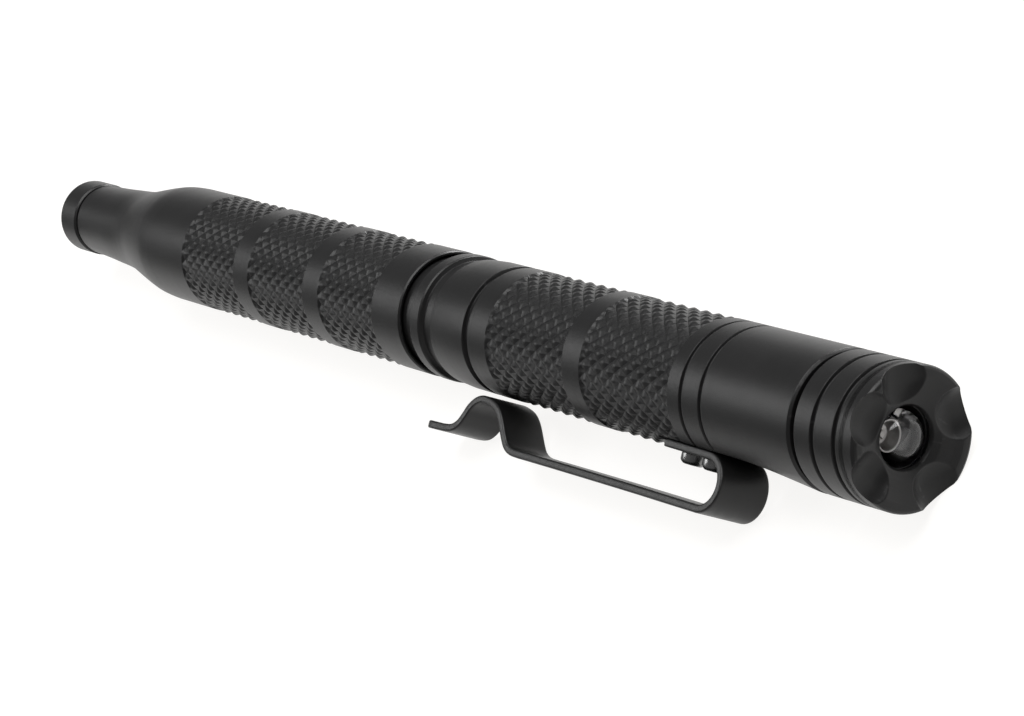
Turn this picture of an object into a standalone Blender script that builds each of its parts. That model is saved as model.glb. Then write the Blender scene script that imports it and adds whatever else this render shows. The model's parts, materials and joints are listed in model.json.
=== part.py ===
"""Pocket pen with a screw-on lamp head, a spring clip, a pull-off cap and a strike tip.

Metres, +Z up. The pen axis is the X axis: x = 0 at the end face of the strike tip, +X towards
the lamp. Sizes below are in millimetres; "depth" is the distance back from the lamp rim.
"""
import bpy
import bmesh
from math import cos, pi, radians, sin, sqrt, tau
from mathutils import Matrix

MM = 0.001
LENGTH = 173.5          # strike tip to lamp rim
BODY_R = 7.0            # barrel, cap and head
GAP = 0.3               # between neighbouring pieces
CLIP_FALL = 19.8        # degrees the clip hangs below horizontal, on the -Y side
CLIP_WIDE = 6.0         # clip width at the bend
CLIP_TIP_WIDE = 5.2     # clip width at the free end
CLIP_THICK = 0.85
BEND_DEPTH = 25.2       # centre of the clip's bend
BEND_RADIUS = 9.25
BEND_SIZE = 2.65
FOOT_END = 33.4
FOOT_SEAT = 5.88        # flat milled in the barrel under the clip foot
SCREW_DEPTHS = (27.7, 31.3)
SCREW_HOLE_R = 0.95
SCOOP_ANGLES = (-32.0, 51.0, 102.0, 160.5, 248.0)
SCOOP_R = 3.2           # a ball cutter of this size runs outwards for each crown scoop,
SCOOP_START = (1.85, 5.0)   # from this far in front of the rim and off the axis
SCOOP_STOP = (2.0, 6.2)     # to here
LED_R = 2.5
LEAD_OFFSET = 1.27      # half of the usual 2.54 between an LED's leads
CELL_COUNT = 3
CELL_R = 3.95
CELL_HIGH = 3.6
GRIP_GROOVES = (116.0, 119.0, 122.0, 125.0)
COIL_SIDES = 6


def clear_scene():
    for ob in list(bpy.data.objects):
        bpy.data.objects.remove(ob, do_unlink=True)


def paint(ob, color, metallic, rough):
    mat = bpy.data.materials.new(ob.name)
    mat.use_nodes = True
    shader = mat.node_tree.nodes["Principled BSDF"]
    shader.inputs["Base Color"].default_value = (*color, 1.0)
    shader.inputs["Metallic"].default_value = metallic
    shader.inputs["Roughness"].default_value = rough
    ob.data.materials.append(mat)


BLACK_METAL = ((0.022, 0.022, 0.023), 0.9, 0.38)
BRIGHT_METAL = ((0.62, 0.62, 0.61), 1.0, 0.22)
BRASS_METAL = ((0.72, 0.52, 0.24), 1.0, 0.3)
CARBIDE = ((0.30, 0.30, 0.31), 1.0, 0.25)
BLACK_RUBBER = ((0.012, 0.012, 0.012), 0.0, 0.7)
BLACK_PLASTIC = ((0.02, 0.02, 0.02), 0.0, 0.5)
WHITE_PLASTIC = ((0.8, 0.8, 0.78), 0.0, 0.45)
GREEN_BOARD = ((0.03, 0.16, 0.06), 0.0, 0.45)
CLEAR_RESIN = ((0.93, 0.94, 0.96), 0.0, 0.06)


def solid(name, bm, origin, finish, smooth=35.0):
    """Close up a mesh given in millimetres, put its origin at `origin` and colour it."""
    bmesh.ops.remove_doubles(bm, verts=bm.verts, dist=1e-5)
    bmesh.ops.recalc_face_normals(bm, faces=bm.faces)
    for v in bm.verts:
        v.co = [(v.co[k] - origin[k]) * MM for k in range(3)]
    mesh = bpy.data.meshes.new(name)
    bm.to_mesh(mesh)
    bm.free()
    for face in mesh.polygons:
        face.use_smooth = True
    mesh.set_sharp_from_angle(angle=radians(smooth))
    ob = bpy.data.objects.new(name, mesh)
    ob.location = [c * MM for c in origin]
    bpy.context.scene.collection.objects.link(ob)
    if finish:
        paint(ob, *finish)
    return ob


def turned(name, loop, sides, finish):
    """Solid of revolution about the pen axis from a closed loop of (depth, radius) points."""
    bm = bmesh.new()
    rings = []
    for depth, radius in loop:
        x = LENGTH - depth
        count = sides if radius > 0 else 1
        rings.append([bm.verts.new((x, radius * cos(tau * k / sides), radius * sin(tau * k / sides)))
                      for k in range(count)])
    for a, b in zip(rings, rings[1:] + rings[:1]):
        if len(a) == len(b) == 1:
            continue
        for i in range(sides):
            j = (i + 1) % sides
            quad = [a[i % len(a)], a[j % len(a)], b[j % len(b)], b[i % len(b)]]
            bm.faces.new(list(dict.fromkeys(quad)))
    middle = LENGTH - (loop[0][0] + loop[-1][0]) / 2
    return solid(name, bm, (middle, 0, 0), finish)


def groove(depth, width, floor, radius=BODY_R):
    """Four points of a square groove turned into a cylinder, its walls slightly open."""
    half = width / 2
    return [(depth - half, radius), (depth - half + 0.08, floor),
            (depth + half - 0.08, floor), (depth + half, radius)]


def coil(name, start, end, radius, wire, turns, finish):
    """Helical spring along the pen axis, both ends cut square."""
    bm = bmesh.new()
    steps = int(turns * 12)
    rings = []
    for k in range(steps + 1):
        t = tau * turns * k / steps
        x = LENGTH - (start + wire + (end - start - 2 * wire) * k / steps)
        ring = []
        for m in range(COIL_SIDES):
            u = tau * m / COIL_SIDES
            r = radius + wire * cos(u)
            ring.append(bm.verts.new((x + wire * sin(u), r * cos(t), r * sin(t))))
        rings.append(ring)
    for a, b in zip(rings, rings[1:]):
        for i in range(COIL_SIDES):
            j = (i + 1) % COIL_SIDES
            bm.faces.new((a[i], a[j], b[j], b[i]))
    bm.faces.new(rings[0])
    bm.faces.new(rings[-1])
    return solid(name, bm, (LENGTH - (start + end) / 2, 0, 0), finish, 60.0)


def ring_seal(name, depth, radius, thick, finish):
    """Round-section rubber ring about the pen axis."""
    loop = [(depth + thick * cos(tau * k / 8), radius + thick * sin(tau * k / 8)) for k in range(8)]
    return turned(name, loop, 24, finish)


def plate(name, outline, half, finish):
    """Flat plate in the XY plane from (depth, y) points, 2 * half thick along Z."""
    bm = bmesh.new()
    low = [bm.verts.new((LENGTH - d, y, -half)) for d, y in outline]
    high = [bm.verts.new((LENGTH - d, y, half)) for d, y in outline]
    for i in range(len(low)):
        j = (i + 1) % len(low)
        bm.faces.new((low[i], low[j], high[j], high[i]))
    bm.faces.new(low)
    bm.faces.new(high)
    return solid(name, bm, (LENGTH - outline[0][0], 0, 0), finish)


def out_of(depth, reach, side=0.0):
    """Point at `reach` out from the pen axis towards the clip and `side` across it."""
    fall = radians(CLIP_FALL)
    return (LENGTH - depth,
            -reach * cos(fall) + side * sin(fall),
            -reach * sin(fall) - side * cos(fall))


def cutter(bm, name):
    """Hidden helper solid, only used to cut."""
    bmesh.ops.recalc_face_normals(bm, faces=bm.faces)
    for v in bm.verts:
        v.co *= MM
    mesh = bpy.data.meshes.new(name)
    bm.to_mesh(mesh)
    bm.free()
    ob = bpy.data.objects.new(name, mesh)
    bpy.context.scene.collection.objects.link(ob)
    ob.hide_render = True
    ob.display_type = "WIRE"
    return ob


def cut(ob, tool):
    mod = ob.modifiers.new(tool.name, "BOOLEAN")
    mod.operation = "DIFFERENCE"
    mod.solver = "EXACT"
    mod.object = tool


def prism(bm, base, top):
    """Join two matching rings of points into a closed prism."""
    low = [bm.verts.new(p) for p in base]
    high = [bm.verts.new(p) for p in top]
    for i in range(len(low)):
        j = (i + 1) % len(low)
        bm.faces.new((low[i], low[j], high[j], high[i]))
    bm.faces.new(low)
    bm.faces.new(high)


def radial_drill(depth, radius, low, high, name):
    """Round cutter pointing out along the clip's direction."""
    bm = bmesh.new()
    turns = [tau * (k + 0.37) / 16 for k in range(16)]
    ends = [[out_of(depth + radius * cos(t), reach, radius * sin(t)) for t in turns]
            for reach in (low, high)]
    prism(bm, *ends)
    return cutter(bm, name)


def axial_drill(depth_a, depth_b, y, radius, name):
    """Round cutter along the pen axis, offset in Y."""
    bm = bmesh.new()
    turns = [tau * (k + 0.37) / 12 for k in range(12)]
    ends = [[(LENGTH - depth, y + radius * cos(t), radius * sin(t)) for t in turns]
            for depth in (depth_a, depth_b)]
    prism(bm, *ends)
    return cutter(bm, name)


def strip(name, path, origin, finish):
    """Flat spring strip along (depth, reach) points; its width tapers towards the free end."""
    bm = bmesh.new()
    rings = []
    for k, (depth, reach) in enumerate(path):
        a = path[max(k - 1, 0)]
        b = path[min(k + 1, len(path) - 1)]
        run, rise = b[0] - a[0], b[1] - a[1]
        size = sqrt(run * run + rise * rise)
        nd, nr = -rise / size * CLIP_THICK / 2, run / size * CLIP_THICK / 2
        share = min(max((depth - 30.0) / 40.0, 0.0), 1.0)
        half = (CLIP_WIDE + (CLIP_TIP_WIDE - CLIP_WIDE) * share) / 2
        rings.append([bm.verts.new(out_of(depth + s * nd, reach + s * nr, w * half))
                      for s, w in ((-1, -1), (-1, 1), (1, 1), (1, -1))])
    for a, b in zip(rings, rings[1:]):
        for i in range(4):
            j = (i + 1) % 4
            bm.faces.new((a[i], a[j], b[j], b[i]))
    bm.faces.new(rings[0])
    bm.faces.new(rings[-1])
    return solid(name, bm, origin, finish, 30.0)


def build_barrel():
    loop = [(9.85, 6.75), (10.1, BODY_R)]
    loop += groove(24.0, 0.5, 6.72) + groove(27.2, 0.5, 6.72) + groove(66.7, 1.1, 6.6)
    loop += [(71.3, BODY_R), (73.9, 6.85), (74.15, 6.45), (75.95, 6.45), (76.15, 6.9),
             (76.35, BODY_R), (77.9, BODY_R), (78.1, 6.8), (78.15, 6.3), (84.0, 6.3),
             (84.0, 5.55), (85.9, 5.55), (85.9, 6.3), (91.7, 6.3), (92.0, 6.05), (92.0, 5.0),
             (82.0, 5.0), (82.0, 3.7), (40.0, 3.7), (40.0, 0), (30.0, 0), (30.0, 4.95),
             (17.0, 4.95), (17.0, 5.7), (12.8, 5.7), (12.6, 6.3), (9.85, 6.3)]
    barrel = turned("barrel", loop, 40, BLACK_METAL)
    bm = bmesh.new()
    box = [[out_of(depth, reach, side) for depth, side in
            ((21.2, -5), (21.2, 5), (FOOT_END + GAP, 5), (FOOT_END + GAP, -5))]
           for reach in (FOOT_SEAT, 8.0)]
    prism(bm, *box)
    cut(barrel, cutter(bm, "seat_cutter"))
    for k, depth in enumerate(SCREW_DEPTHS):
        cut(barrel, radial_drill(depth, SCREW_HOLE_R, 4.5, 9.0, f"screw_cutter_{k + 1}"))


def bend(side):
    """Quarter of the clip's bend, from its outermost point to the foot (-1) or to the arm (1)."""
    return [(BEND_DEPTH - BEND_SIZE * cos(pi / 8 * k), BEND_RADIUS + side * BEND_SIZE * sin(pi / 8 * k))
            for k in range(5)]


def build_clip():
    tip = BEND_DEPTH - BEND_SIZE
    foot = [(tip, BEND_RADIUS - GAP / 2)] + bend(-1)[1:] + [(28.0, 6.6), (FOOT_END, 6.6)]
    foot_ob = strip("clip_foot", foot[::-1], (LENGTH - 29.0, 0, 0), BLACK_METAL)
    for k, depth in enumerate(SCREW_DEPTHS):
        cut(foot_ob, radial_drill(depth, SCREW_HOLE_R, 5.0, 8.0, f"foot_cutter_{k + 1}"))
    arm = [(tip, BEND_RADIUS + GAP / 2)] + bend(1)[1:]
    arm += [(36.0, 11.97), (47.0, 12.1), (57.3, 12.26), (58.8, 12.2), (59.9, 11.8),
            (60.8, 10.95), (61.7, 9.9), (62.6, 8.95), (63.7, 8.25), (65.2, 7.9), (66.6, 7.88),
            (67.7, 8.3), (68.6, 9.1), (69.2, 10.1), (69.9, 11.05), (70.9, 11.7), (72.3, 11.95),
            (74.3, 12.05), (76.0, 12.1)]
    strip("clip_arm", arm, out_of(tip, BEND_RADIUS), BLACK_METAL)


def build_screws():
    for k, depth in enumerate(SCREW_DEPTHS):
        bm = bmesh.new()
        rings = []
        for reach, radius in ((5.35, 0), (5.35, 0.62), (7.33, 0.62), (7.33, 1.3), (7.9, 1.3),
                              (8.15, 1.0), (8.15, 0.6), (7.75, 0.55), (7.75, 0)):
            count = 16 if radius else 1
            rings.append([bm.verts.new(out_of(depth + radius * cos(tau * i / 16), reach,
                                              radius * sin(tau * i / 16))) for i in range(count)])
        for a, b in zip(rings, rings[1:]):
            for i in range(16):
                j = (i + 1) % 16
                quad = [a[i % len(a)], a[j % len(a)], b[j % len(b)], b[i % len(b)]]
                bm.faces.new(list(dict.fromkeys(quad)))
        solid(f"clip_screw_{k + 1}", bm, out_of(depth, 6.6), BRIGHT_METAL)


def scoop_cutter(angle, name):
    """Ball swept outwards along a straight line."""
    bm = bmesh.new()
    for ahead, out in (SCOOP_START, SCOOP_STOP):
        place = Matrix.Translation((LENGTH + ahead, out * cos(angle), out * sin(angle)))
        bmesh.ops.create_uvsphere(bm, u_segments=16, v_segments=10, radius=SCOOP_R, matrix=place)
    hull = bmesh.ops.convex_hull(bm, input=bm.verts)
    bmesh.ops.delete(bm, geom=hull["geom_interior"], context="VERTS")
    inner = [f for f in bm.faces if f not in set(hull["geom"])]
    bmesh.ops.delete(bm, geom=inner, context="FACES")
    loose = [v for v in bm.verts if not v.link_faces]
    bmesh.ops.delete(bm, geom=loose, context="VERTS")
    return cutter(bm, name)


def build_head():
    loop = [(0.0, 6.05), (0.0, 6.6), (0.15, 6.87), (0.45, BODY_R)]
    loop += groove(3.0, 0.6, 6.65) + groove(6.3, 0.6, 6.65)
    loop += [(8.95, BODY_R), (9.15, 6.8), (9.15, 5.4), (10.6, 5.4), (10.6, 4.9), (12.0, 4.9),
             (12.0, 5.4), (15.8, 5.4), (16.0, 5.2), (16.0, 4.2), (9.0, 4.2), (9.0, 3.2),
             (7.4, 3.2), (7.4, 2.95), (1.1, 2.95), (0.75, 3.9), (0.35, 5.1)]
    head = turned("head", loop, 40, BLACK_METAL)
    for k, angle in enumerate(SCOOP_ANGLES):
        cut(head, scoop_cutter(radians(angle), f"scoop_cutter_{k + 1}"))
    ring_seal("head_oring", 11.3, 5.6, 0.4, BLACK_RUBBER)


def build_lamp():
    dome = [(2.6 - LED_R * cos(pi / 16 * k), LED_R * sin(pi / 16 * k)) for k in range(9)]
    dome[0] = (dome[0][0], 0)
    turned("led_lens", dome + [(7.7, LED_R), (7.7, 2.9), (8.7, 2.9), (8.7, 1.9), (3.4, 1.9),
                               (2.95, 1.4), (2.8, 0)], 24, CLEAR_RESIN)
    y = LEAD_OFFSET
    cathode = [(3.4, -0.95), (3.9, -0.5), (3.9, 0.2), (3.4, 0.65), (4.7, 0.65), (5.9, -y + 0.25),
               (13.0, -y + 0.25), (13.0, -y - 0.25), (4.4, -y - 0.25)]
    anode = [(3.5, 0.98), (3.5, y + 0.25), (13.0, y + 0.25), (13.0, y - 0.25), (4.6, y - 0.25),
             (4.3, 0.98)]
    plate("led_cathode", cathode, 0.25, BRIGHT_METAL)
    plate("led_anode", anode, 0.25, BRIGHT_METAL)
    holder = turned("led_holder", [(9.3, 0), (9.3, 3.9), (11.3, 3.9), (11.3, 0)], 32,
                    BLACK_PLASTIC)
    board = turned("contact_board", [(11.6, 0), (11.6, 3.9), (12.6, 3.9), (12.6, 0)], 32,
                   GREEN_BOARD)
    for k, side in enumerate((-y, y)):
        drill = axial_drill(9.0, 13.2, side, 0.68, f"lead_cutter_{k + 1}")
        cut(holder, drill)
        cut(board, drill)
    coil("contact_spring", 12.95, 16.7, 2.2, 0.22, 3.5, BRIGHT_METAL)


def build_power():
    turned("battery_sleeve", [(17.3, 4.25), (17.3, 4.65), (29.2, 4.65), (29.2, 4.25)], 32,
           WHITE_PLASTIC)
    for k in range(CELL_COUNT):
        front = 17.4 + (CELL_HIGH + GAP) * k
        back = front + CELL_HIGH
        turned(f"battery_{k + 1}", [(front, 0), (front, 3.2), (front + 0.35, 3.3),
                                    (front + 0.35, CELL_R - 0.2), (front + 0.55, CELL_R),
                                    (back - 0.2, CELL_R), (back, CELL_R - 0.2), (back, 0)],
               20, BRIGHT_METAL)
    turned("ground_contact", [(29.1, 0), (29.1, 1.2), (29.3, 1.6), (29.3, 3.6), (29.6, 3.6),
                              (29.6, 0)], 24, BRASS_METAL)


def build_writer():
    ring_seal("cap_oring", 84.95, 6.2, 0.35, BLACK_RUBBER)
    loop = [(83.0, 4.4), (83.3, 4.7), (92.3, 4.7), (92.3, 5.8), (93.2, 5.8), (93.6, 5.5),
            (114.0, 5.2)]
    for depth in GRIP_GROOVES:
        radius = 5.2 - (depth - 114.0) * 0.05
        loop += groove(depth, 0.9, radius - 0.35, radius)
    loop += [(133.0, 4.25), (141.4, 1.95), (141.7, 1.75), (141.7, 1.45), (138.2, 1.45),
             (133.0, 3.4), (83.0, 3.4)]
    turned("nose_section", loop, 24, BLACK_METAL)
    turned("refill_tube", [(49.0, 0), (49.0, 3.0), (132.8, 3.0), (132.8, 1.8), (128.0, 1.8),
                           (128.0, 0)], 20, BRIGHT_METAL)
    turned("refill_tip", [(128.4, 0), (128.4, 1.5), (133.1, 1.5), (133.1, 2.85), (134.0, 2.6),
                          (137.6, 1.15), (142.4, 1.1), (143.3, 0.45), (143.5, 0)], 24,
           BRASS_METAL)
    turned("refill_plug", [(45.6, 0), (45.6, 1.8), (46.0, 2.2), (48.7, 2.2), (48.7, 0)], 24,
           BLACK_PLASTIC)
    coil("refill_spring", 40.35, 45.3, 2.7, 0.25, 3.0, BRIGHT_METAL)


def build_cap():
    loop = [(80.3, 6.85), (80.5, BODY_R), (140.5, BODY_R), (143.0, 6.87), (145.0, 6.57),
            (147.0, 6.2), (149.0, 5.8), (151.0, 5.4), (152.5, 5.17), (154.5, 4.97),
            (157.5, 4.8), (161.0, 4.6), (165.6, 4.42), (165.8, 4.3), (165.8, 3.0),
            (156.0, 3.0), (156.0, 3.2), (149.0, 3.9), (143.0, 5.1), (136.0, 6.1), (94.0, 6.1),
            (93.5, 6.6), (80.3, 6.6)]
    turned("cap", loop, 40, BLACK_METAL)
    turned("tip_holder", [(166.1, 4.4), (166.35, 4.6), (170.1, 4.6), (170.5, 4.2), (170.5, 1.8),
                          (162.0, 1.8), (162.0, 0), (160.0, 0), (160.0, 2.4), (160.3, 2.7),
                          (166.1, 2.7)], 32, BLACK_METAL)
    turned("strike_tip", [(162.3, 0), (162.3, 1.5), (170.8, 1.5), (171.5, 1.45), (173.2, 0.85),
                          (173.5, 0.55), (173.5, 0)], 24, CARBIDE)


clear_scene()
build_barrel()
build_clip()
build_screws()
build_head()
build_lamp()
build_power()
build_writer()
build_cap()
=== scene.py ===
"""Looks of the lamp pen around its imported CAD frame.

Sizes below are in millimetres. "depth" is the distance back from the lamp rim along the pen's
axis, which is the row frame's X axis; "reach" is the distance out from that axis to the clip.
"""
import json
import math

import bpy
import numpy as np
from mathutils import Matrix, Vector

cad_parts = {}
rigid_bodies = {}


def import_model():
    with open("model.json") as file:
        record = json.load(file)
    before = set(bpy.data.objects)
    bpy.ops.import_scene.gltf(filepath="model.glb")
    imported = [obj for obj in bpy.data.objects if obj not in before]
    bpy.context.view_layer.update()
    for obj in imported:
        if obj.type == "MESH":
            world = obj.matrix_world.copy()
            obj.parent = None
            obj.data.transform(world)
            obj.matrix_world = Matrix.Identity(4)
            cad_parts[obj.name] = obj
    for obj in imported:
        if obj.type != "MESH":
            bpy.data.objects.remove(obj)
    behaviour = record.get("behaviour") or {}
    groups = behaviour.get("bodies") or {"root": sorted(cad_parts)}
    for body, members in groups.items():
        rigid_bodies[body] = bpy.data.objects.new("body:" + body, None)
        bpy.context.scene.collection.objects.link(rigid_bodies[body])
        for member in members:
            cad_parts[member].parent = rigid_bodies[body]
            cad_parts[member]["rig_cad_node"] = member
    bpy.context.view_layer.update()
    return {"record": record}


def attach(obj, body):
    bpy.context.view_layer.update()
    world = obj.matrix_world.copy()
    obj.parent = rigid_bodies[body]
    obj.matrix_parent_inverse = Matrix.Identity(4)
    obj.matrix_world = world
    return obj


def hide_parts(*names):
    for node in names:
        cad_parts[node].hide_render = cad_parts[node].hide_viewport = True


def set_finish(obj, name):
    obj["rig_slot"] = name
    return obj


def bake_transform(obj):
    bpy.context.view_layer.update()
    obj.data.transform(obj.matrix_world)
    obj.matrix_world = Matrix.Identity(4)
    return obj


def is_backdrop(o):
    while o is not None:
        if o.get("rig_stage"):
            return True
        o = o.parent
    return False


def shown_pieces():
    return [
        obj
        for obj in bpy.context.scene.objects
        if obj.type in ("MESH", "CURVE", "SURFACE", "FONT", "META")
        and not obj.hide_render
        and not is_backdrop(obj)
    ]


MM = 0.001
TAU = math.tau

# The photograph's view, in row-frame metres
LENS, SENSOR = 126.56, 36.0
CAMERA_PLACE = (0.42467, -0.07223, 0.20063)
CAMERA_RIGHT = (0.5355, 0.5196, -0.6657)
CAMERA_LOOK = (-0.8306, 0.1816, -0.5264)

# Pen
LENGTH = 173.5
BODY_R = 7.0
SIDES = 224                  # round the barrel and cap: 8 to each knurl diamond
KNURL_COUNT = 28
KNURL_PITCH = 2.1
KNURL_STEP = KNURL_PITCH / 8
KNURL_DEEP = 0.24
KNURL_FLAT = 0.44            # share of a groove's spacing taken by each flank
BARREL_KNURLS = ((29.4, 59), (48.0, 56))
CAP_KNURLS = ((86.2, 46), (101.8, 50), (118.4, 50))
CLIP_FALL = math.radians(19.8)
CLIP_WIDE, CLIP_TIP_WIDE, CLIP_THICK = 6.0, 5.2, 0.85
BEND = (25.2, 9.25, 2.65)    # depth, reach and radius of the clip's bend
FOOT_SEAT = 6.14             # floor of the milled seat, close under the clip foot
SEAT = (21.2, 33.7)
SCREW_DEPTHS = (27.7, 31.3)
SCOOP_ANGLES = (-32.0, 51.0, 102.0, 160.5, 248.0)
SCOOP_R = 3.2                # a ball runs outwards for each crown scoop:
SCOOP_START, SCOOP_STOP = (1.85, 5.0), (2.0, 6.2)    # ahead of the rim, off the axis
CROWN_SIDES = 480
BORE_R = 2.93                # hole round the LED
CROWN_BLEND = 0.05           # rounding where a scoop meets the dish
RIM_EDGE = 6.90              # the crown's rows stop even here and close up to the rim
HEAD_GROOVES = (3.0, 6.3)
BARREL_GROOVES = (24.0, 27.2)
GRIP_GROOVES = (116.0, 119.0, 122.0, 125.0)
LED_R, LED_NOSE, LED_FLANGE = 2.5, 2.6, 2.9
LEAD_HALF = 0.25
CUP_OFF = -0.15              # the reflector cup's offset from the pen's axis, along Y
TIP_CORNER, FOOT_CORNER = 1.0, 0.7      # rounding of the clip strip's two ends
TAPER = [(140.5, BODY_R), (143.0, 6.87), (145.0, 6.57), (147.0, 6.2), (149.0, 5.8),
         (151.0, 5.4), (152.5, 5.17), (154.5, 4.97), (157.5, 4.8), (161.0, 4.6), (165.6, 4.42)]
ARM_LINE = [(26.0, 11.9), (30.0, 11.93), (36.0, 11.97), (47.0, 12.1), (55.0, 12.22),
            (57.3, 12.26), (58.8, 12.2), (59.9, 11.8), (60.8, 10.95), (61.7, 9.9),
            (62.6, 8.95), (63.7, 8.25), (65.2, 7.9), (66.6, 7.88), (67.7, 8.3), (68.6, 9.1),
            (69.2, 10.1), (69.9, 11.05), (70.9, 11.7), (72.3, 11.95), (74.3, 12.05),
            (76.0, 12.1)]    # centre of the clip's arm: depth, reach
SCREW_PROFILE = [(5.35, 0), (5.35, 0.62), (7.05, 0.62), (7.05, 1.28), (7.12, 1.32),
                 (7.75, 1.3), (7.95, 1.18), (8.1, 0.98), (8.15, 0.84), (8.15, 0.76),
                 (8.1, 0.72), (7.55, 0.70), (7.5, 0)]
SCREW_SOCKET = 10            # from this point of the profile on, the ring is a hexagon
SCREW_SIDES = 72

# Stage; lamps are place in metres, size in metres, watts
LAMPS = {"key": ((-0.72, -0.34, 0.74), (0.50, 0.40), 3.4),
         "top": ((0.25, 0.35, 0.95), (0.9, 0.9), 15.0),
         "side": ((0.03, 0.95, 0.10), (0.30, 0.16), 9.0)}
LAMP_AIM = (0.09, 0.0, 0.0)
FLOOR_HALF = 6.0
FLOOR_COLOR, FLOOR_GLOW = (0.13, 0.13, 0.13, 1.0), (1.0, 0.99, 0.975, 1.0)
FLOOR_GLOW_STRENGTH = 0.90
WORLD_STRENGTH = 0.22


def set_camera():
    """The camera that the photograph was taken with."""
    data = bpy.data.cameras.new("camera")
    data.lens, data.sensor_width = LENS, SENSOR
    data.clip_start, data.clip_end = 0.01, 20.0
    ob = bpy.data.objects.new("camera", data)
    right = Vector(CAMERA_RIGHT).normalized()
    look = Vector(CAMERA_LOOK).normalized()
    up = right.cross(look).normalized()
    turn = Matrix((right, up, -look)).transposed().to_4x4()
    ob.matrix_world = Matrix.Translation(CAMERA_PLACE) @ turn
    bpy.context.scene.collection.objects.link(ob)
    bpy.context.scene.camera = ob


set_camera()
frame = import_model()


# ---------------------------------------------------------------- shapes

def out_of(depth, reach, side=0.0):
    """Row-frame millimetres of a point `reach` out towards the clip and `side` across it."""
    depth, reach, side = np.broadcast_arrays(depth, reach, side)
    c, s = math.cos(CLIP_FALL), math.sin(CLIP_FALL)
    return np.stack([LENGTH - depth, -reach * c + side * s, -reach * s - side * c], -1)


def make(name, points, faces, body, slot, replaces, sharp=None):
    """Mesh object from row-frame millimetres; it rides on `body` and stands for CAD nodes."""
    mesh = bpy.data.meshes.new(name)
    mesh.from_pydata((np.asarray(points, float) * MM).tolist(), [], faces)
    mesh.update()
    co = np.asarray(points, float)
    mesh.calc_loop_triangles()
    tri = np.zeros(len(mesh.loop_triangles) * 3, np.int32)
    mesh.loop_triangles.foreach_get("vertices", tri)
    a, b, c = (co[tri.reshape(-1, 3)[:, k]] for k in range(3))
    if np.einsum("ij,ij->i", a, np.cross(b, c)).sum() < 0:
        mesh.flip_normals()
    mesh.polygons.foreach_set("use_smooth", [True] * len(mesh.polygons))
    if sharp:
        mesh.set_sharp_from_angle(angle=math.radians(sharp))
    ob = bpy.data.objects.new(name, mesh)
    bpy.context.scene.collection.objects.link(ob)
    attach(ob, body)
    if replaces:
        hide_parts(*replaces)
    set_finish(ob, slot)
    return ob


def rounded(loop, radius, steps=3, hold=0.12):
    """Closed profile with its corners rounded, and a holding point beside each round."""
    out = []
    for i, point in enumerate(loop):
        p = Vector(point)
        a, b = Vector(loop[i - 1]) - p, Vector(loop[(i + 1) % len(loop)]) - p
        turn = math.pi - a.angle(b)
        if turn < math.radians(14) or p.y == 0:
            out.append(tuple(p))
            continue
        cut = min(radius * math.tan(turn / 2), 0.3 * a.length, 0.3 * b.length)
        a_dir, b_dir = a.normalized(), b.normalized()
        if a.length > 4 * hold:
            out.append(tuple(p + a_dir * (cut + hold)))
        for k in range(steps + 1):
            t = k / steps
            out.append(tuple(p + a_dir * cut * (1 - t) ** 2 + b_dir * cut * t * t))
        if b.length > 4 * hold:
            out.append(tuple(p + b_dir * (cut + hold)))
    return out


def lattice(rings, sides, split=()):
    """Faces of a closed stack of rings; rings in `split` are cut along their creases."""
    points, faces, starts = [], [], []
    turns = np.arange(sides) / sides * TAU
    for depth, radius in rings:
        starts.append(len(points))
        if np.isscalar(radius) and radius == 0:
            points.append((LENGTH - float(depth), 0.0, 0.0))
            continue
        d = np.broadcast_to(depth, sides)
        r = np.broadcast_to(radius, sides)
        points.extend(np.stack([LENGTH - d, r * np.cos(turns), r * np.sin(turns)], -1).tolist())
    starts_next = starts[1:] + starts[:1]
    sizes = [1 if np.isscalar(r) and r == 0 else sides for _, r in rings]
    for k, (a, b) in enumerate(zip(starts, starts_next)):
        na, nb = sizes[k], sizes[(k + 1) % len(rings)]
        if na == nb == 1:
            continue
        for i in range(sides):
            j = (i + 1) % sides
            if na == 1:
                faces.append((a, b + j, b + i))
            elif nb == 1:
                faces.append((a + i, a + j, b))
            elif k in split and split[k][i]:
                faces += [(a + i, a + j, b + j), (a + i, b + j, b + i)]
            elif k in split:
                faces += [(a + i, a + j, b + i), (a + j, b + j, b + i)]
            else:
                faces.append((a + i, a + j, b + j, b + i))
    return points, faces


def turned(name, loop, body, slot, replaces, radius=0.08, sides=128, sharp=None):
    """Solid of revolution about the pen's axis with rounded corners."""
    points, faces = lattice(rounded(loop, radius), sides)
    return make(name, points, faces, body, slot, replaces, sharp)


def groove(depth, width, floor, radius=BODY_R):
    half = width / 2
    return [(depth - half, radius), (depth - half + 0.08, floor),
            (depth + half - 0.08, floor), (depth + half, radius)]


def band(start, steps):
    """Profile points of one knurled band, a lattice step apart."""
    end = start + KNURL_STEP * steps
    rows = [(start + KNURL_STEP * k, BODY_R) for k in range(steps + 1)]
    return [(start - 0.06, BODY_R)] + rows + [(end + 0.06, BODY_R)]


def knurl_height(along, around):
    """0 in the grooves and 1 on the flats of the diamonds; arguments in diamonds."""
    one = np.abs(around + along - np.round(around + along))
    two = np.abs(around - along - np.round(around - along))
    return np.minimum(np.minimum(one, two) / KNURL_FLAT, 1.0)


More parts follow.
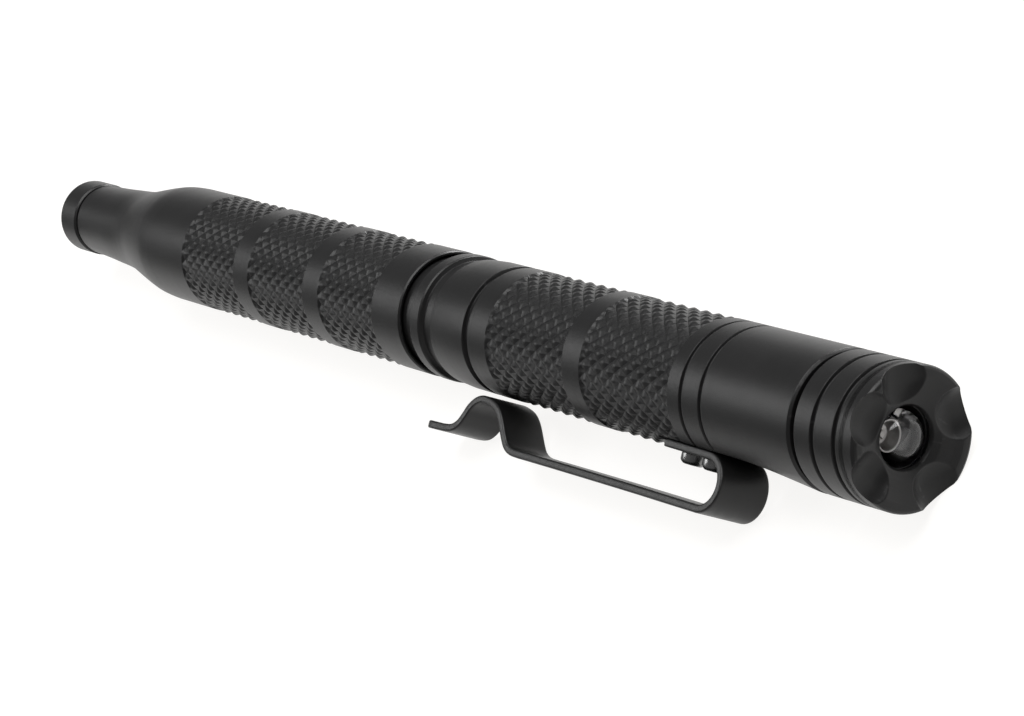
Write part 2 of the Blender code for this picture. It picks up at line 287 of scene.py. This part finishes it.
def knurled(name, loop, bands, body, slot, replaces, seat=False):
    """Turned tube with knurled bands; crossing V-grooves leave flat-topped diamonds."""
    around = np.arange(SIDES) / SIDES * KNURL_COUNT
    turn = np.arange(SIDES) / SIDES * TAU
    off = np.cos(turn - (math.pi + CLIP_FALL))
    flat = np.where(off > 0.5, FOOT_SEAT / np.maximum(off, 0.5), 99.0)
    rings, split = [], {}
    for depth, radius in rounded(loop, 0.07):
        here = [(s, n) for s, n in bands if s <= depth <= s + n * KNURL_STEP + 1e-6]
        ring = radius
        if here and radius > BODY_R - 0.01:
            start, steps = here[0]
            fade = min(min(depth - start, start + steps * KNURL_STEP - depth) / 0.3, 1.0)
            along = (depth - start) / KNURL_PITCH
            ring = radius - KNURL_DEEP * fade * (1 - knurl_height(along, around))
            middle = knurl_height(along + 1 / 16, around + KNURL_COUNT / SIDES / 2)
            after = knurl_height(along + 1 / 8, around)
            now = knurl_height(along, around)
            main = (now + np.roll(after, -1)) / 2
            cross = (np.roll(now, -1) + after) / 2
            split[len(rings)] = (np.abs(main - middle) <= np.abs(cross - middle)).tolist()
        if seat and SEAT[0] <= depth <= SEAT[1] and radius > FOOT_SEAT:
            ring = np.minimum(ring, flat)
        rings.append((depth, ring))
    points, faces = lattice(rings, SIDES, split)
    return make(name, points, faces, body, slot, replaces, 28)


# ---------------------------------------------------------------- finishes

def finish(name, color, rough, metallic=0.0, specular=0.5, spread=0.04, grain=(9000, 0.02),
           rings=0.0, brushed=0.0, patch=0.12, edge_lightening=None, coat=0.0):
    """Shader whose colour, roughness and bump vary finely over the surface."""
    mat = bpy.data.materials.new(name)
    mat.use_nodes = True
    tree = mat.node_tree
    new, link = tree.nodes.new, tree.links.new
    shader = tree.nodes["Principled BSDF"]
    shader.inputs["Metallic"].default_value = metallic
    shader.inputs["Specular IOR Level"].default_value = specular
    shader.inputs["Coat Weight"].default_value = coat
    place = new("ShaderNodeTexCoord").outputs["Object"]

    def noise(scale, detail, stretch=None):
        node = new("ShaderNodeTexNoise")
        node.inputs["Scale"].default_value = scale
        node.inputs["Detail"].default_value = detail
        vector = place
        if stretch:
            mapping = new("ShaderNodeMapping")
            mapping.inputs["Scale"].default_value = stretch
            link(place, mapping.inputs["Vector"])
            vector = mapping.outputs["Vector"]
        link(vector, node.inputs["Vector"])
        return node.outputs["Fac"]

    def ramp(value, low, high, to_low, to_high):
        node = new("ShaderNodeMapRange")
        for key, number in (("From Min", low), ("From Max", high),
                            ("To Min", to_low), ("To Max", to_high)):
            node.inputs[key].default_value = number
        link(value, node.inputs["Value"])
        return node.outputs["Result"]

    def mix(factor, one, two):
        node = new("ShaderNodeMix")
        node.data_type = "RGBA"
        link(factor, node.inputs["Factor"])
        for key, value in (("A", one), ("B", two)):
            socket = [s for s in node.inputs if s.name == key and s.type == "RGBA"][0]
            if isinstance(value, tuple):
                socket.default_value = (*value, 1.0)
            else:
                link(value, socket)
        return [s for s in node.outputs if s.type == "RGBA"][0]

    cloud = noise(220.0, 4.0)
    dark = tuple(c * (1 - patch) for c in color)
    light = tuple(c * (1 + patch) for c in color)
    tint = mix(ramp(cloud, 0.35, 0.65, 0.0, 1.0), dark, light)
    # Lighter colour painted onto sharp convex edges (by Pointiness), in noisy patches
    if edge_lightening:
        point = new("ShaderNodeNewGeometry").outputs["Pointiness"]
        edge_mix = new("ShaderNodeMath")
        edge_mix.operation = "MULTIPLY"
        link(ramp(point, 0.53, 0.60, 0.0, 1.0), edge_mix.inputs[0])
        link(ramp(noise(900.0, 5.0), 0.45, 0.62, 0.0, edge_lightening[1]), edge_mix.inputs[1])
        tint = mix(edge_mix.outputs["Value"], tint, edge_lightening[0])
    link(tint, shader.inputs["Base Color"])
    streak = noise(1.0, 3.0, (26000.0, 60.0, 60.0)) if rings else noise(1400.0, 3.0)
    link(ramp(streak, 0.3, 0.7, rough - spread, rough + spread), shader.inputs["Roughness"])
    bump = new("ShaderNodeBump")
    bump.inputs["Distance"].default_value = MM * grain[1]
    bump.inputs["Strength"].default_value = 0.6
    link(noise(grain[0], 2.0), bump.inputs["Height"])
    last = bump
    for amount, stretch in ((rings, (26000.0, 60.0, 60.0)), (brushed, (160.0, 7000.0, 7000.0))):
        if amount:
            lines = new("ShaderNodeBump")
            lines.inputs["Distance"].default_value = MM * amount
            lines.inputs["Strength"].default_value = 0.5
            link(noise(1.0, 2.0, stretch), lines.inputs["Height"])
            link(last.outputs["Normal"], lines.inputs["Normal"])
            last = lines
    link(last.outputs["Normal"], shader.inputs["Normal"])
    return mat


def resin(name, color, rough):
    """Clear cast resin with a faint haze of flow marks."""
    mat = finish(name, color, rough, patch=0.02, spread=0.015, grain=(900, 0.004))
    shader = mat.node_tree.nodes["Principled BSDF"]
    shader.inputs["Transmission Weight"].default_value = 1.0
    shader.inputs["IOR"].default_value = 1.5
    return mat


MATERIALS = {
    "black_aluminium": finish("black_aluminium", (0.0068, 0.0067, 0.0068), 0.40, specular=0.27,
                              rings=0.004, edge_lightening=((0.05, 0.05, 0.05), 0.35)),
    "black_spring_steel": finish("black_spring_steel", (0.008, 0.0079, 0.0078), 0.38,
                                 specular=0.32, brushed=0.006, edge_lightening=((0.06, 0.06, 0.06), 0.4)),
    "black_screw": finish("black_screw", (0.20, 0.20, 0.20), 0.27, metallic=0.95, rings=0.004,
                          edge_lightening=((0.45, 0.45, 0.44), 0.7)),
    "clear_resin": resin("clear_resin", (0.90, 0.90, 0.91), 0.10),
    "lead_metal": finish("lead_metal", (0.42, 0.41, 0.40), 0.36, metallic=1.0, brushed=0.004),
    "black_plastic": finish("black_plastic", (0.02, 0.02, 0.02), 0.5, grain=(5000, 0.02)),
    "white_plastic": finish("white_plastic", (0.8, 0.8, 0.78), 0.45, patch=0.03),
    "green_board": finish("green_board", (0.03, 0.16, 0.06), 0.35, patch=0.25, coat=0.4),
    "spring_wire": finish("spring_wire", (0.6, 0.6, 0.6), 0.25, metallic=1.0, brushed=0.004),
    "cell_can": finish("cell_can", (0.6, 0.6, 0.59), 0.28, metallic=1.0, rings=0.006),
    "brass": finish("brass", (0.72, 0.52, 0.24), 0.3, metallic=1.0, rings=0.005, patch=0.06),
    "black_rubber": finish("black_rubber", (0.012, 0.012, 0.012), 0.6, specular=0.35,
                           grain=(3000, 0.03)),
    "refill_steel": finish("refill_steel", (0.55, 0.55, 0.55), 0.3, metallic=1.0, rings=0.006),
    "carbide": finish("carbide", (0.30, 0.30, 0.31), 0.24, metallic=1.0, rings=0.006),
}


# ---------------------------------------------------------------- barrel and cap

def build_barrel():
    loop = [(9.85, 6.75), (10.1, BODY_R), (21.2, BODY_R), (21.22, BODY_R)]
    for depth in BARREL_GROOVES:
        loop += groove(depth, 0.5, 6.72)
    loop += band(*BARREL_KNURLS[0]) + band(*BARREL_KNURLS[1]) + groove(66.7, 1.1, 6.6)
    seat_end = [(33.70, BODY_R), (33.72, BODY_R)]
    loop = sorted(loop + seat_end, key=lambda p: p[0])
    loop += [(71.3, BODY_R), (73.9, 6.85), (74.15, 6.45), (75.95, 6.45), (76.15, 6.9),
             (76.35, BODY_R), (77.9, BODY_R), (78.1, 6.8), (78.15, 6.3), (84.0, 6.3),
             (84.0, 5.55), (85.9, 5.55), (85.9, 6.3), (91.7, 6.3), (92.0, 6.05), (92.0, 5.0),
             (82.0, 5.0), (82.0, 3.7), (40.0, 3.7), (40.0, 0), (30.0, 0), (30.0, 4.95),
             (17.0, 4.95), (17.0, 5.7), (12.8, 5.7), (12.6, 6.3), (9.85, 6.3)]
    knurled("barrel_turned", loop, BARREL_KNURLS, "barrel", "black_aluminium", ["barrel"], True)


def spline(points, per=4):
    """Smooth curve through the points, with `per` samples to each span."""
    p = np.array([points[0]] + list(points) + [points[-1]], float)
    out = []
    for i in range(1, len(p) - 2):
        for k in range(per):
            t = k / per
            out.append(tuple(0.5 * (2 * p[i] + (p[i + 1] - p[i - 1]) * t
                                    + (2 * p[i - 1] - 5 * p[i] + 4 * p[i + 1] - p[i + 2]) * t * t
                                    + (3 * p[i] - p[i - 1] - 3 * p[i + 1] + p[i + 2]) * t ** 3)))
    return out + [tuple(p[-2])]


def build_cap():
    loop = [(80.3, 6.85), (80.5, BODY_R)]
    for start, steps in CAP_KNURLS:
        loop += band(start, steps)
    loop += spline(TAPER) + [(165.8, 4.3), (165.8, 3.0), (156.0, 3.0), (156.0, 3.2), (149.0, 3.9),
                     (143.0, 5.1), (136.0, 6.1), (94.0, 6.1), (93.5, 6.6), (80.3, 6.6)]
    knurled("cap_turned", loop, CAP_KNURLS, "cap", "black_aluminium", ["cap"])
    turned("tip_collar", [(166.1, 4.4), (166.35, 4.6), (170.1, 4.6), (170.5, 4.2), (170.5, 1.8),
                          (162.0, 1.8), (162.0, 0), (160.0, 0), (160.0, 2.4), (160.3, 2.7),
                          (166.1, 2.7)], "cap", "black_aluminium", ["tip_holder"], 0.1)
    turned("tip_point", [(162.3, 0), (162.3, 1.5), (170.8, 1.5), (171.5, 1.45), (173.2, 0.85),
                         (173.5, 0.55), (173.5, 0)], "cap", "carbide", ["strike_tip"], 0.1, 64)


# ---------------------------------------------------------------- lamp head

def scoop_depth(radius, turn):
    """How deep the deepest scoop, a ball swept outwards, goes at a polar place on the crown."""
    (ahead, start), (ahead_stop, stop) = SCOOP_START, SCOOP_STOP
    slope = (ahead_stop - ahead) / (stop - start)
    lean = slope / math.sqrt(1 + slope * slope)
    deepest = np.full(np.shape(turn), -9.0)
    for angle in np.radians(SCOOP_ANGLES):
        out, side = radius * np.cos(turn - angle), radius * np.sin(turn - angle)
        slice_r = np.sqrt(np.maximum(SCOOP_R ** 2 - side ** 2, 0.0))
        middle = np.clip(out - slice_r * lean, start, stop)
        rest = slice_r ** 2 - (out - middle) ** 2
        ball = np.sqrt(np.maximum(rest, 0.0)) - ahead - slope * (middle - start)
        deepest = np.maximum(deepest, np.where(rest > 0, ball, -9.0))
    return deepest


def soft_max(a, b, blend):
    """The larger of two depths, rounded over where they cross."""
    gap = np.clip(0.5 + (a - b) / (2 * blend), 0.0, 1.0)
    return b + (a - b) * gap + blend * gap * (1 - gap)


def build_head():
    turn = np.arange(CROWN_SIDES) / CROWN_SIDES * TAU
    dish_r = [BORE_R, 3.15, 3.9, 5.1, 5.95, 6.15, 6.6, 6.87, 7.0]
    dish_d = [1.45, 1.10, 0.75, 0.35, 0.03, 0.0, 0.0, 0.15, 0.45]
    rings = []
    for radius in [BORE_R, 2.98, 3.04, 3.1, *np.linspace(3.16, RIM_EDGE, 64), 6.95, 6.98]:
        plain = np.interp(radius, dish_r, dish_d)
        rings.append((soft_max(scoop_depth(radius, turn), plain, CROWN_BLEND), radius))
    edge = np.maximum(rings[-1][0] + 0.02, 0.45)
    for share in (0.0, 0.03, 0.1, 0.2, 0.4, 0.7, 1.0):
        rings.append((edge + (2.2 - edge) * share, BODY_R))
    loop = [(1.5, BODY_R)]
    for depth in HEAD_GROOVES:
        loop += groove(depth, 0.6, 6.65)
    loop += [(8.95, BODY_R), (9.15, 6.8), (9.15, 5.4), (10.6, 5.4), (10.6, 4.9), (12.0, 4.9),
             (12.0, 5.4), (15.8, 5.4), (16.0, 5.2), (16.0, 4.2), (9.0, 4.2), (9.0, 3.2),
             (7.4, 3.2), (7.4, BORE_R), (2.0, BORE_R)]
    rings += rounded(loop, 0.07)[1:]
    points, faces = lattice(rings, CROWN_SIDES)
    make("head_turned", points, faces, "head", "black_aluminium", ["head"], 35)


def plate(outline, half):
    """Points and faces of a flat plate in the XY plane from (depth, y) points."""
    n = len(outline)
    points = [(LENGTH - d, y, z) for z in (-half, half) for d, y in outline]
    faces = [tuple(range(n)), tuple(range(2 * n - 1, n - 1, -1))]
    faces += [(i, (i + 1) % n, n + (i + 1) % n, n + i) for i in range(n)]
    return points, faces


def bevelled(ob, width, segments=2):
    mod = ob.modifiers.new("edges", "BEVEL")
    mod.width, mod.segments, mod.limit_method = width * MM, segments, "ANGLE"
    mod.angle_limit = math.radians(30)
    mod.harden_normals = True


def build_lamp():
    """Solid LED body, its two leads, and the cup and chip that the cathode carries."""
    dome = [(LED_NOSE - LED_R * math.cos(math.pi / 48 * k), LED_R * math.sin(math.pi / 48 * k))
            for k in range(25)]
    dome[0] = (dome[0][0], 0)
    turned("lamp_dome", dome + [(7.7, LED_R), (7.7, LED_FLANGE), (8.7, LED_FLANGE), (8.7, 0)],
           "head", "clear_resin", ["led_lens"], 0.1, 96)
    cathode = [(3.9, -0.9), (3.9, 0.6), (4.7, 0.65), (5.9, -1.02), (13.0, -1.02),
               (13.0, -1.52), (4.4, -1.52)]
    anode = [(3.5, 0.98), (3.5, 1.52), (13.0, 1.52), (13.0, 1.02), (4.6, 1.02), (4.3, 0.98)]
    for name, outline, node in (("lamp_cathode", cathode, "led_cathode"),
                                ("lamp_anode", anode, "led_anode")):
        ob = make(name, *plate(outline, LEAD_HALF), "head", "lead_metal", [node], 30)
        bevelled(ob, 0.06)
    cup = [(4.0, 0.75), (3.3, 0.95), (3.3, 0.85), (3.85, 0.5), (3.85, 0), (4.2, 0), (4.2, 0.6)]
    points, faces = lattice(rounded(cup, 0.04), 48)
    points = [(x, y + CUP_OFF, z) for x, y, z in points]
    make("lamp_cup", points, faces, "head", "lead_metal", [])
    chip = plate([(3.65, -0.32), (3.65, 0.02), (3.85, 0.02), (3.85, -0.32)], 0.17)
    bevelled(make("lamp_chip", *chip, "head", "lead_metal", [], 30), 0.02)


# ---------------------------------------------------------------- clip

def clip_path():
    """Centre line of the clip's strip, from the foot round the bend to the free end."""
    depth, reach, size = BEND
    path = [(d, reach - size) for d in np.linspace(33.4, depth, 12)]
    path += [(depth - size * math.sin(t), reach - size * math.cos(t))
             for t in np.linspace(0, math.pi, 25)[1:]]
    path += spline(ARM_LINE, 5)
    return path


def strip_section(half_wide, half_thick, corner):
    """Rounded rectangle as (thick, wide) points, with holding points on its long sides."""
    out = []
    for st, sw in ((-1, -1), (-1, 1), (1, 1), (1, -1)):
        turns = [math.pi / 6 * k for k in range(4)]
        arc = [(st * (half_thick - corner * (1 - math.cos(t))),
                sw * (half_wide - corner * (1 - math.sin(t)))) for t in turns]
        hold = [(st * half_thick, sw * (half_wide - corner - 0.15))]
        out += arc[::-1] + hold if st == sw else hold + arc
    return out


def build_clip():
    path = np.array(clip_path())
    tangent = np.gradient(path, axis=0)
    tangent /= np.linalg.norm(tangent, axis=1)[:, None]
    run = np.concatenate([[0], np.cumsum(np.linalg.norm(np.diff(path, axis=0), axis=1))])
    rings = []
    for k, (depth, reach) in enumerate(path):
        share = min(max((depth - 30.0) / 40.0, 0.0), 1.0)
        half = (CLIP_WIDE + (CLIP_TIP_WIDE - CLIP_WIDE) * share) / 2
        for end, corner in ((run[k], FOOT_CORNER), (run[-1] - run[k], TIP_CORNER)):
            if end < corner:
                half -= corner - math.sqrt(max(corner ** 2 - (corner - end) ** 2, 0.0))
        nd, nr = -tangent[k][1], tangent[k][0]
        section = strip_section(half, CLIP_THICK / 2, 0.2)
        rings.append([out_of(depth + t * nd, reach + t * nr, w) for t, w in section])
    n = len(rings[0])
    points = [p for ring in rings for p in ring]
    faces = [(a * n + i, a * n + (i + 1) % n, (a + 1) * n + (i + 1) % n, (a + 1) * n + i)
             for a in range(len(rings) - 1) for i in range(n)]
    faces += [tuple(range(n)), tuple(range(len(points) - 1, len(points) - n - 1, -1))]
    ob = make("clip_strip", points, faces, "barrel", "black_spring_steel",
              ["clip_foot", "clip_arm"], 40)
    ob.parent = None
    start, end = out_of(33.5, 7.03) * MM, out_of(33.9, 10.6) * MM
    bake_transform(ob)


def build_screws():
    """Round-headed screws with a hexagon socket, standing on the clip's foot."""
    sides = SCREW_SIDES
    turn = np.arange(sides) / sides * TAU
    hexagon = math.cos(math.pi / 6) / np.cos((turn % (TAU / 6)) - math.pi / 6)
    for index, middle in enumerate(SCREW_DEPTHS):
        points, faces, starts = [], [], []
        for k, (reach, radius) in enumerate(SCREW_PROFILE):
            starts.append(len(points))
            r = radius * (hexagon if k >= SCREW_SOCKET else np.ones(sides))
            if radius == 0:
                points.append(out_of(middle, reach))
                continue
            points.extend(out_of(middle + r * np.cos(turn), reach, r * np.sin(turn)))
        for a, b in zip(starts, starts[1:]):
            for i in range(sides):
                j = (i + 1) % sides
                if b - a == 1:
                    faces.append((a, b + j, b + i))
                elif b == starts[-1]:
                    faces.append((a + i, a + j, b))
                else:
                    faces.append((a + i, a + j, b + j, b + i))
        make(f"clip_bolt_{index + 1}", points, faces, "barrel", "black_screw",
             [f"clip_screw_{index + 1}"], 30)


# ---------------------------------------------------------------- writing end under the cap

def build_writer():
    loop = [(83.0, 4.4), (83.3, 4.7), (92.3, 4.7), (92.3, 5.8), (93.2, 5.8), (93.6, 5.5),
            (114.0, 5.2)]
    for depth in GRIP_GROOVES:
        radius = 5.2 - (depth - 114.0) * 0.05
        loop += groove(depth, 0.9, radius - 0.35, radius)
    loop += [(133.0, 4.25), (141.4, 1.95), (141.7, 1.75), (141.7, 1.45), (138.2, 1.45),
             (133.0, 3.4), (83.0, 3.4)]
    turned("nose_turned", loop, "barrel", "black_aluminium", ["nose_section"], 0.1, 128)
    turned("refill_point", [(128.4, 0), (128.4, 1.5), (133.1, 1.5), (133.1, 2.85), (134.0, 2.6),
                            (137.6, 1.15), (140.8, 1.1), (142.4, 1.05), (143.1, 0.5),
                            (143.3, 0.42), (143.45, 0.28), (143.5, 0)], "barrel", "brass",
           ["refill_tip"], 0.06, 64)
    ring = [(84.95 + 0.35 * math.cos(TAU * k / 24), 6.2 + 0.35 * math.sin(TAU * k / 24))
            for k in range(24)]
    turned("cap_ring", ring, "barrel", "black_rubber", ["cap_oring"], 0.0, 96)


# ---------------------------------------------------------------- stage

def area(name, place, size, power):
    """Soft rectangular lamp that faces the pen."""
    data = bpy.data.lights.new(name, "AREA")
    data.shape, data.size, data.size_y = "RECTANGLE", size[0], size[1]
    data.energy = power
    ob = bpy.data.objects.new(name, data)
    ob.location = place
    aim = Vector(LAMP_AIM) - Vector(place)
    ob.rotation_mode = "QUATERNION"
    ob.rotation_quaternion = aim.to_track_quat("-Z", "Y")
    bpy.context.scene.collection.objects.link(ob)


def build_stage():
    """Pale floor under the pen, plain surroundings and three soft lamps."""
    mesh = bpy.data.meshes.new("floor")
    corners = ((-1, -1), (1, -1), (1, 1), (-1, 1))
    mesh.from_pydata([(x * FLOOR_HALF, y * FLOOR_HALF, -BODY_R * MM) for x, y in corners], [],
                     [(0, 1, 2, 3)])
    floor = bpy.data.objects.new("floor", mesh)
    bpy.context.scene.collection.objects.link(floor)
    mat = bpy.data.materials.new("floor")
    mat.use_nodes = True
    shader = mat.node_tree.nodes["Principled BSDF"]
    shader.inputs["Base Color"].default_value = FLOOR_COLOR
    shader.inputs["Roughness"].default_value = 0.7
    shader.inputs["Emission Color"].default_value = FLOOR_GLOW
    shader.inputs["Emission Strength"].default_value = FLOOR_GLOW_STRENGTH
    mesh.materials.append(mat)
    floor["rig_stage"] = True
    world = bpy.data.worlds.new("studio")
    world.use_nodes = True
    world.node_tree.nodes["Background"].inputs["Color"].default_value = (1.0, 1.0, 1.0, 1.0)
    world.node_tree.nodes["Background"].inputs["Strength"].default_value = WORLD_STRENGTH
    bpy.context.scene.world = world
    for name, (place, size, power) in LAMPS.items():
        area(name, place, size, power)
    bpy.context.scene.view_settings.view_transform = "Standard"


build_barrel()
build_cap()
build_head()
build_lamp()
build_clip()
build_screws()
build_writer()
build_stage()

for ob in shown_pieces():
    node = ob.get("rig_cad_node")
    if node:
        row = next(r for r in frame["record"]["subparts"] if r["node"] == node)
        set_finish(ob, row["material_slot"])
    ob.data.materials.clear()
    ob.data.materials.append(MATERIALS[ob["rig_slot"]])
